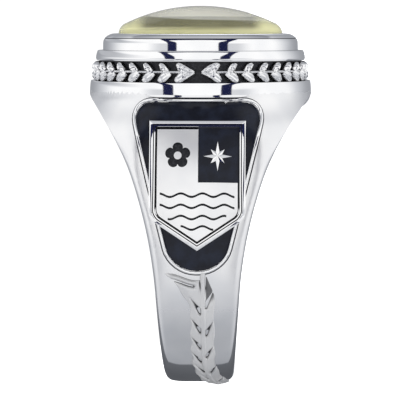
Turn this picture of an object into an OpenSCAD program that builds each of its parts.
// Commemorative ring: a cast silver ring with a domed stone in a round bezel, a laurel wreath
// in a blackened groove, and a raised shield in an enamel panel on each shoulder.
// Every form is drawn with the ring upright about the centre of its finger hole, X across the
// shoulders, Y along the finger and Z up to the stone. lying() then lays it on its side.

/* [Shank] */
// Inside diameter of the finger hole
finger_d = 19.8; // [19.5:0.05:20.1]
// Thickness of the shank below the shoulders
shank_t = 1.65; // [1.6:0.01:1.75]
// Width of the shank at its lowest point
shank_w = 5.24; // [5:0.02:5.4]
// Slope of the shank's sides, in degrees
shank_taper = 3.5; // [3:0.1:4]

/* [Shoulders] */
// Radius of the shoulder's face, seen along the finger
face_r = 21.1; // [20.8:0.1:21.6]
// Height where the sides start to sweep out to the head
sweep_foot_z = -3.2; // [-3.6:0.1:-2.8]
// Radius of the sweep's long lower part
sweep_low_r = 32; // [31:0.5:33]
// Height where the sweep tightens
sweep_turn_z = 5; // [4.8:0.1:5.2]
// Radius of the sweep's tight upper part
sweep_high_r = 16.5; // [16:0.1:17]
// Radius of the ball that rounds the shoulders' corners
corner_ball_r = 12.15; // [12:0.05:12.3]
// Height of that ball's centre
corner_ball_z = 2.6; // [2.4:0.1:2.8]

/* [Head] */
// Largest diameter of the barrel
barrel_d = 17.5; // [17.4:0.02:17.7]
// Height of the barrel's largest diameter
barrel_z = 11.65; // [11.6:0.05:11.75]
// Radius of the barrel's lower curve
barrel_low_r = 1.45; // [1.4:0.01:1.5]
// Radius of the barrel's upper curve
barrel_high_r = 4.5; // [4:0.5:6]
// Diameter of the groove's floor
groove_d = 16; // [15.8:0.05:16.1]
// Height of the groove's lower edge
groove_low_z = 12.49; // [12.4:0.01:12.55]
// Height of the groove's upper edge
groove_high_z = 14.08; // [14:0.01:14.1]
// Diameter of the tier above the groove, at its foot
tier_d = 16.54; // [16.4:0.02:16.6]
// Height of the tier's top
tier_top_z = 14.83; // [14.81:0.01:14.9]
// Radius of the tier's rounded top edge
tier_round_r = 0.7; // [0.6:0.01:0.7]
// Diameter of the bezel rim at its foot
rim_d = 15.42; // [15.3:0.02:15.5]
// Height of the rim's top
rim_top_z = 16.19; // [16.1:0.01:16.25]
// Radius of the rim's rounded top edge
rim_round_r = 0.75; // [0.65:0.01:0.8]

/* [Stone] */
// Diameter of the stone and its seat
stone_d = 13; // [12.8:0.05:13.1]
// Depth of the seat below the rim's top
seat_depth = 1.1; // [0.9:0.05:1.3]
// Height of the dome above the rim
dome_rise = 2.14; // [2.05:0.01:2.2]
// Radius of the dome's crown
crown_r = 13.5; // [13.2:0.1:14]

/* [Panels] */
// Height of a panel's upper edge
panel_top_z = 11.1; // [11:0.02:11.2]
// Width of a panel along its upper edge, before its corners are rounded
panel_top_w = 9.96; // [9.8:0.02:10.1]
// Radius of its upper corners
panel_top_round = 1.3; // [1.2:0.05:1.4]
// Height of a panel's lower edge
panel_low_z = -1.26; // [-1.4:0.02:-1.1]
// Width of a panel along its lower edge, before its corners are rounded
panel_low_w = 3.74; // [3.7:0.02:3.9]
// Radius of its lower corners
panel_low_round = 2.2; // [2.1:0.05:2.25]
// Depth of a panel's floor below the shoulder's face
panel_depth = 0.45; // [0.35:0.01:0.5]
// Depth of the enamel's surface below the shoulder's face
enamel_depth = 0.1; // [0.06:0.01:0.16]
// Width of the bead round a panel
bead_w = 0.26; // [0.22:0.01:0.3]
// Height of that bead
bead_rise = 0.12; // [0.08:0.01:0.16]

/* [Shields] */
// Width of a shield
shield_w = 7.1; // [7:0.02:7.2]
// Height of a shield's straight upper edge
shield_top_z = 9.61; // [9.5:0.01:9.7]
// Height where a shield's sides turn to the point
shield_turn_z = 2.6; // [2.5:0.05:2.8]
// Radius of those two turns
shield_turn_r = 1; // [0.9:0.05:1.1]
// Height of a shield's point
shield_tip_z = 0.28; // [0.2:0.02:0.4]
// Height of the shield's frame above the shoulder's face
frame_rise = 0.32; // [0.28:0.01:0.36]
// Width of the shield's frame
frame_w = 0.46; // [0.42:0.01:0.5]
// Height of the shield's field above the shoulder's face
field_rise = 0.14; // [0.1:0.01:0.18]
// Width of the blackened line inside the frame
line_w = 0.14; // [0.12:0.01:0.16]
// Height of the lower edge of the enamelled quarter
quarter_low_z = 5.2; // [5:0.05:5.4]
// Bare silver between that quarter and the frame
quarter_margin = 0.22; // [0.2:0.01:0.26]
// Across the points of the star in that quarter
star_d = 2.1; // [1.9:0.05:2.3]

/* [Leaves] */
// Leaf pairs in one quarter of the wreath
wreath_pairs = 9; // [8:1:9]
// Angle between two pairs, in degrees
wreath_pitch = 9.2; // [9:0.1:9.3]
// Height of the wreath's leaves above the groove's floor
wreath_rise = 0.62; // [0.56:0.01:0.66]
// Leaves on the left of a shank branch
branch_leaves = 7; // [6:1:7]
// Angle between two of them, in degrees
branch_pitch = 8.8; // [8.6:0.1:9]
// Angle between two leaves on its right, in degrees
branch_right_pitch = 12.5; // [12.2:0.1:12.8]
// Height of a branch above the shank
branch_rise = 0.35; // [0.3:0.01:0.38]
// Distance from the shank's middle to a branch's stem
branch_side = 0.4; // [0.35:0.05:0.45]
// Distance that a branch's end swings to one side
branch_swing = 1.5; // [1.4:0.05:1.55]
// Length of a branch's uppermost leaf
branch_leaf_l = 2.3; // [2.2:0.05:2.4]
// Length that the leaves lose towards its end
branch_leaf_loss = 0.6; // [0.5:0.05:0.7]

/* [Hidden] */
$fn = 128;
far = 30;                                   // longer than the ring in any direction
gap = 0.02;                                 // clearance round the stone and the enamel
root = 0.15;                                // depth of cast relief below the surface it grows from
through = 1;                                // height that a cutting outline reaches past its work
arc_steps = 8;                              // straight steps in a rounded corner
star_points = 8;
hole_r = finger_d / 2;
shank_r = hole_r + shank_t;
face_x = face_r - shank_r;                  // the face's centre lies this far behind the axis
shoulder_top_z = barrel_z - 0.35;           // the shoulders end inside the barrel
barrel_r = barrel_d / 2;
barrel_foot_a = -72;                        // where the barrel's lower curve ends, in degrees
groove_r = groove_d / 2;
groove_mid_z = (groove_low_z + groove_high_z) / 2;
stone_r = stone_d / 2;
seat_z = rim_top_z - seat_depth;
seat_bevel = 0.1;
rim_draft = 0.08;                           // the rim leans in by this much
enamel_t = 0.15;                            // thickness of the enamel in a quarter
upper_from_z = 5.9;                         // a shield fills its panel from side to side
lower_to_z = 3;                             // between these two heights
wreath_tip = 1.9;                           // degrees from a shoulder's middle to the tip pair
wreath_start = 5.8;                         // and to the first pair after it
branch_top = 8;                             // degrees below the shoulders' level, to the stem's top
branch_start = 20;                          // and to the first leaves
branch_bend = 46;                           // and to where the stem starts to swing
branch_end = branch_start + branch_pitch * branch_leaves;

// Centres of the sweep's two arcs. The lower one leaves the shank's slope smoothly, and the
// upper one leaves the lower one so.
sweep_foot_w = shank_w / 2 + (sweep_foot_z + shank_r) * tan(shank_taper);
sweep_low_y = sweep_foot_w + sweep_low_r * cos(shank_taper);
sweep_low_z = sweep_foot_z - sweep_low_r * sin(shank_taper);
sweep_turn_a = asin((sweep_turn_z - sweep_low_z) / sweep_low_r);
sweep_high_y = sweep_low_y - (sweep_low_r - sweep_high_r) * cos(sweep_turn_a);
sweep_high_z = sweep_turn_z - sweep_high_r * sin(sweep_turn_a);

// The ring lies on the barrel's lower curve and the shank's lower edge. The line that touches
// both gives the angle between the finger's axis and upright.
reach_y = barrel_r - barrel_low_r - shank_w / 2;
reach_z = barrel_z + shank_r;
lie_angle = atan2(reach_y, reach_z) + asin(barrel_low_r / norm([reach_y, reach_z]));

// Points along an arc about c, from angle a0 to a1
function arc(c, r, a0, a1, steps) =
    [for (i = [0:steps]) let (a = a0 + (a1 - a0) * i / steps) c + r * [cos(a), sin(a)]];

function unit(v) = v / norm(v);

// One corner of an outline, rounded to radius r
function round_corner(before, corner, after, r) =
    r <= 0 ? [corner] :
    let (
        a = unit(before - corner),
        b = unit(after - corner),
        half = acos(a * b) / 2,
        centre = corner + unit(a + b) * r / sin(half),
        start = corner + a * r / tan(half) - centre,
        end = corner + b * r / tan(half) - centre,
        a0 = atan2(start.y, start.x),
        turn = (atan2(end.y, end.x) - a0 + 540) % 360 - 180
    )
    arc(centre, r, a0, a0 + turn, arc_steps);

// An outline from corners of [across, height, radius], listed anticlockwise
function rounded(corners) =
    let (n = len(corners), p = [for (c = corners) [c.x, c.y]])
    [for (i = [0:n - 1]) each round_corner(p[(i + n - 1) % n], p[i], p[(i + 1) % n], corners[i].z)];

// The panel's outline, grown by d on every side
function panel_outline(d) =
    let (
        lean = atan2((panel_top_w - panel_low_w) / 2, panel_top_z - panel_low_z),
        top = panel_top_w / 2 + d * (1 + sin(lean)) / cos(lean),
        low = panel_low_w / 2 + d * (1 - sin(lean)) / cos(lean)
    )
    rounded([
        [-low, panel_low_z - d, panel_low_round + d],
        [low, panel_low_z - d, panel_low_round + d],
        [top, panel_top_z + d, panel_top_round + d],
        [-top, panel_top_z + d, panel_top_round + d],
    ]);

// The shield's outline, drawn in by d on every side
function shield_outline(d) =
    let (
        slope = atan2(shield_turn_z - shield_tip_z, shield_w / 2),
        w = shield_w / 2 - d,
        tip = shield_tip_z + d / cos(slope),
        turn = max(shield_turn_r - d, 0.2)
    )
    rounded([
        [-w, tip + w * tan(slope), turn],
        [0, tip, 0],
        [w, tip + w * tan(slope), turn],
        [w, shield_top_z - d, 0],
        [-w, shield_top_z - d, 0],
    ]);

// The enamelled quarter between the shield's middle and its frame, drawn in by d
function quarter_outline(d) =
    let (
        inset = frame_w + quarter_margin + d,
        side = shield_w / 2 - inset,
        top = shield_top_z - inset
    )
    [[d, quarter_low_z + d], [side, quarter_low_z + d], [side, top], [d, top]];

// A star in the quarter's middle, whose points are long and short in turn, grown by d
function star_outline(d) =
    let (
        c = [(shield_w / 2 - frame_w) / 2, (quarter_low_z + shield_top_z - frame_w) / 2],
        radii = [star_d / 2, star_d / 6, star_d / 3, star_d / 6],
        corners = star_points * 2
    )
    [for (i = [0:corners - 1])
        let (a = i * 360 / corners)
        c + (radii[i % 4] + d) * [cos(a), sin(a)]];

// A leaf lies flat at first, with s along it and t across it. Rows are [s, t] as shares of its
// length and width, anticlockwise from its foot.
LEAF = [[0, 0], [0.3, -0.5], [0.7, -0.38], [1, 0], [0.7, 0.38], [0.3, 0.5]];
LEAF_RIDGE = [[0.12, 0], [0.8, 0]];
LEAF_FACES = concat(
    [[0, 1, 2, 3, 4, 5]],
    [for (i = [0:5]) [i, i + 6, (i + 1) % 6 + 6, (i + 1) % 6]],
    [[6, 12, 7], [7, 12, 13, 8], [8, 13, 9], [9, 13, 10], [10, 13, 12, 11], [11, 12, 6]]
);

// Bends a flat point [u, v, h] round the head's groove: u along it, v up, h out
wrap_groove = function (p)
    let (a = p.x / groove_r * 180 / PI)
    [(groove_r + p.z) * cos(a), (groove_r + p.z) * sin(a), p.y];

// Bends it down round the shank: u down from the shoulders' level, v along the finger, h out
wrap_shank = function (p)
    let (a = p.x / shank_r * 180 / PI)
    [(shank_r + p.z) * cos(a), p.y, -(shank_r + p.z) * sin(a)];

// A leaf of [length, width, rise] from its foot at [u, v] towards heading, bent onto the ring
// by wrap
module leaf(wrap, foot, heading, size) {
    along = [cos(heading), sin(heading)];
    across = [-sin(heading), cos(heading)];
    shoulder = 0.55;
    layers = [[LEAF, -root], [LEAF, size.z * shoulder], [LEAF_RIDGE, size.z]];
    points = [
        for (layer = layers)
            for (q = layer[0])
                let (flat = foot + along * q.x * size.x + across * q.y * size.y)
                wrap([flat.x, flat.y, layer[1]])
    ];
    polyhedron(points, LEAF_FACES);
}

// Turns the upright ring to lie on its side, with its head towards +X
module lying() {
    rotate([0, -lie_angle, 0])
        rotate([90, 0, 90])
            children();
}

// Extrudes an outline drawn in Y and Z across the ring
module along_x(length) {
    rotate([90, 0, 90])
        translate([0, 0, -length / 2])
            linear_extrude(length)
                children();
}

// The ball that rounds the shoulders' corners, upright below its centre, grown by d
module corner_form(d) {
    translate([0, 0, corner_ball_z])
        sphere(r = corner_ball_r + d);
    translate([0, 0, corner_ball_z - far])
        cylinder(r = corner_ball_r + d, h = far);
}

// The face of the shoulder on the +X side with its rounded corners, grown by d
module face_form(d) {
    intersection() {
        translate([-face_x, 0, 0])
            rotate([90, 0, 0])
                cylinder(r = face_r + d, h = far, center = true);
        corner_form(d);
    }
}

// An outline in Y and Z as a layer of the shoulder between two heights above its face
module on_face(outline, low, high) {
    intersection() {
        difference() {
            face_form(high);
            face_form(low);
        }
        translate([far / 4, 0, 0])
            along_x(far / 2)
                polygon(outline);
    }
}

// Shape of shank and shoulders seen along the finger
module front_form() {
    rotate([90, 0, 0])
        linear_extrude(far, center = true) {
            circle(r = shank_r);
            intersection() {
                translate([-face_x, 0])
                    circle(r = face_r);
                translate([face_x, 0])
                    circle(r = face_r);
                translate([-far / 2, 0])
                    square([far, shoulder_top_z]);
            }
        }
}

// A band between two heights whose sides are hollowed by arcs about [y, z]
module hollow_band(low_z, high_z, y, z, r) {
    difference() {
        translate([-far / 2, low_z])
            square([far, high_z - low_z]);
        for (side = [-1, 1])
            translate([side * y, z])
                circle(r = r);
    }
}

// Shape of shank and shoulders seen from the side, which flares up to the head
module side_form() {
    low = far / 2;
    low_w = sweep_foot_w - (sweep_foot_z + low) * tan(shank_taper);
    along_x(far) {
        polygon([
            [-low_w, -low], [low_w, -low],
            [sweep_foot_w, sweep_foot_z], [-sweep_foot_w, sweep_foot_z],
        ]);
        hollow_band(sweep_foot_z, sweep_turn_z, sweep_low_y, sweep_low_z, sweep_low_r);
        hollow_band(sweep_turn_z, shoulder_top_z, sweep_high_y, sweep_high_z, sweep_high_r);
    }
}

module shoulders() {
    intersection() {
        front_form();
        side_form();
        corner_form(0);
    }
}

// The round head: barrel, groove, tier and bezel rim, with the stone's seat
module head() {
    low_c = [barrel_r - barrel_low_r, barrel_z];
    high_c = [barrel_r - barrel_high_r, barrel_z];
    high_a = asin((groove_low_z - barrel_z) / barrel_high_r);
    foot = low_c + barrel_low_r * [cos(barrel_foot_a), sin(barrel_foot_a)];
    under_t = 0.1;                          // the flat underside lies this far below the foot
    under_slope = 0.8;                      // and starts this far inside it
    tier_c = [tier_d / 2 - tier_round_r, tier_top_z - tier_round_r];
    rim_c = [rim_d / 2 - rim_draft - rim_round_r, rim_top_z - rim_round_r];
    rotate_extrude()
        polygon(concat(
            [[0, foot.y - under_t], [foot.x - under_slope, foot.y - under_t]],
            arc(low_c, barrel_low_r, barrel_foot_a, 0, arc_steps),
            arc(high_c, barrel_high_r, high_a / 4, high_a, 3),
            [[groove_r, groove_low_z], [groove_r, groove_high_z], [tier_d / 2, groove_high_z]],
            arc(tier_c, tier_round_r, 0, 75, arc_steps / 2),
            [[rim_d / 2, tier_top_z]],
            arc(rim_c, rim_round_r, 0, 90, arc_steps),
            [
                [stone_r + seat_bevel, rim_top_z], [stone_r, rim_top_z - seat_bevel],
                [stone_r, seat_z], [0, seat_z],
            ]
        ));
}

// Raised laurel in the groove: four sprays that start at the shoulders' middles with a long
// slender pair. In each pair after it the lower leaf is the larger one.
module wreath() {
    degree = groove_r * PI / 180;
    stem_w = 0.18;
    stem_rise = 0.28;
    stem_from = wreath_tip + 1.3;
    spray = 82;                             // degrees from one end of a stem to the other
    spread = 36;                            // degrees between a leaf and the stem
    tip_spread = 23;                        // and between a leaf of the tip pair and the stem
    leaf_gap = 0.03;
    lower_leaf = [0.98, 0.52, wreath_rise];
    upper_leaf = [0.84, 0.42, wreath_rise];
    tip_leaf = [1.3, 0.38, wreath_rise];
    for (start = [0, 180], side = [-1, 1]) {
        rotate([0, 0, side > 0 ? start + stem_from : start - stem_from - spray])
            rotate_extrude(angle = spray)
                translate([groove_r - root, groove_mid_z - stem_w / 2])
                    square([root + stem_rise, stem_w]);
        for (up = [-1, 1])
            leaf(
                wrap_groove,
                [(start + side * wreath_tip) * degree, groove_mid_z + up * leaf_gap],
                side > 0 ? up * tip_spread : 180 - up * tip_spread,
                tip_leaf
            );
        for (i = [0:wreath_pairs - 1], up = [-1, 1])
            leaf(
                wrap_groove,
                [
                    (start + side * (wreath_start + wreath_pitch * i)) * degree,
                    groove_mid_z + up * leaf_gap
                ],
                side > 0 ? up * spread : 180 - up * spread,
                up < 0 ? lower_leaf : upper_leaf
            );
    }
}

// Sideways place of a shank branch's stem at an angle below the shoulders' level
function stem_y(a) =
    let (t = max(0, (a - branch_bend) / (branch_end - branch_bend)))
    branch_side + branch_swing * pow(t, 1.5);

// Leaf branch that runs down the shank and ends under it. The leaves point up and outward from
// the stem, and lie closer to it as they get shorter towards its end. They stand wider apart on
// the right.
module branch() {
    degree = shank_r * PI / 180;
    steps = 12;
    stem_low = branch_end + 3;
    foot_w = 0.4;
    top_w = 0.24;
    left_lag = 1.5;                         // the first left leaf's foot lies this much lower,
    right_lag = 0.3;                        // and the right one's, in degrees
    spread = 28;                            // degrees between the first leaves and the stem
    gathered = 14;                          // degrees that the last ones lie closer to it
    leaf_w = 0.95;
    leaf_w_loss = 0.15;
    section = [
        [-foot_w / 2, -root], [foot_w / 2, -root],
        [top_w / 2, branch_rise], [-top_w / 2, branch_rise],
    ];
    corners = len(section);
    points = [
        for (i = [0:steps])
            let (a = branch_top + (stem_low - branch_top) * i / steps)
            for (q = section)
                wrap_shank([a * degree, stem_y(a) + q.x, q.y])
    ];
    polyhedron(points, concat(
        [[for (k = [0:corners - 1]) k], [for (k = [corners - 1:-1:0]) steps * corners + k]],
        [for (i = [0:steps - 1], k = [0:corners - 1])
            let (a = i * corners + k, b = i * corners + (k + 1) % corners)
            [a, a + corners, b + corners, b]]
    ));
    for (side = [-1, 1]) {
        pitch = side > 0 ? branch_right_pitch : branch_pitch;
        for (i = [0:floor(branch_pitch * (branch_leaves - 1) / pitch)]) {
            a = branch_start + (side > 0 ? right_lag : left_lag) + pitch * i;
            along = (a - branch_start) / (branch_end - branch_start);
            leaf(
                wrap_shank, [a * degree, stem_y(a)], 180 - side * (spread - gathered * along),
                [
                    branch_leaf_l - branch_leaf_loss * along, leaf_w - leaf_w_loss * along,
                    branch_rise
                ]
            );
        }
    }
    // The long curled leaf at the upper left, and the broad one beside the stem's top
    curled_leaf = [3.3, 1.05, branch_rise];
    broad_leaf = [2.5, 1.15, branch_rise];
    leaf(wrap_shank, [(branch_start - 1) * degree, branch_side - 0.1], 180 + 48, curled_leaf);
    leaf(wrap_shank, [(branch_start + 1) * degree, branch_side + 0.3], 180 - 10, broad_leaf);
}

// Everything that is raised on one shoulder and cast with it
module shoulder_relief() {
    difference() {
        on_face(panel_outline(bead_w), -root * 2, bead_rise);
        on_face(panel_outline(0), -root * 4, through);
    }
    difference() {
        on_face(shield_outline(0), -panel_depth - root, frame_rise);
        on_face(shield_outline(frame_w), field_rise, through);
        difference() {
            on_face(shield_outline(frame_w + gap), field_rise - enamel_t, through);
            on_face(shield_outline(frame_w + gap + line_w), -through, through * 2);
        }
        difference() {
            on_face(quarter_outline(0), field_rise - enamel_t - gap * 2, through);
            on_face(star_outline(0), -through, through * 2);
        }
    }
    branch();
}

module both_shoulders() {
    for (turn = [0, 180])
        rotate([0, 0, turn])
            children();
}

module ring_body() {
    color("silver")
        lying() {
            difference() {
                union() {
                    shoulders();
                    head();
                }
                rotate([90, 0, 0])
                    cylinder(r = hole_r, h = far, center = true);
                both_shoulders()
                    on_face(panel_outline(0), -panel_depth, through);
            }
            both_shoulders()
                shoulder_relief();
            wreath();
        }
}

// The cabochon: a crown of one large arc that turns down to the girdle in a smaller one
module stone() {
    r = stone_r - gap;
    foot_z = seat_z + gap;
    base_z = rim_top_z - seat_bevel;
    rise = dome_rise + seat_bevel;
    edge_r = (2 * crown_r * rise - r * r - rise * rise) / (2 * (crown_r - r));
    turn_a = atan2(crown_r - rise, r - edge_r);
    color("khaki")
        lying()
            rotate_extrude()
                polygon(concat(
                    [[0, foot_z], [r - root, foot_z], [r, foot_z + root]],
                    arc([r - edge_r, base_z], edge_r, 0, turn_a, arc_steps),
                    [for (i = [1:arc_steps])
                        let (a = turn_a + (90 - turn_a) * i / arc_steps)
                        [crown_r * cos(a), base_z + rise - crown_r + crown_r * sin(a)]]
                ));
}

// Enamel of one panel, kept above or below the heights where the shield fills the panel
module panel_enamel(turn, low_z, high_z) {
    color("#23263a")
        lying()
            rotate([0, 0, turn])
                intersection() {
                    difference() {
                        on_face(panel_outline(-gap), -panel_depth + gap, -enamel_depth);
                        on_face(shield_outline(-gap), -through, through);
                    }
                    translate([0, -far / 2, low_z])
                        cube([far, far, high_z - low_z]);
                }
}

// Enamel round the star in one quarter of a shield
module quarter_enamel(turn) {
    color("#23263a")
        lying()
            rotate([0, 0, turn])
                difference() {
                    on_face(quarter_outline(gap), field_rise - enamel_t - gap, field_rise - gap);
                    on_face(star_outline(gap * 2), -through, through);
                }
}

ring_body();
stone();
panel_enamel(180, upper_from_z, far);  // panel_enamel_upper_near
panel_enamel(180, -far, lower_to_z);  // panel_enamel_lower_near
panel_enamel(0, upper_from_z, far);  // panel_enamel_upper_far
panel_enamel(0, -far, lower_to_z);  // panel_enamel_lower_far
quarter_enamel(180);  // quarter_enamel_near
quarter_enamel(0);  // quarter_enamel_far
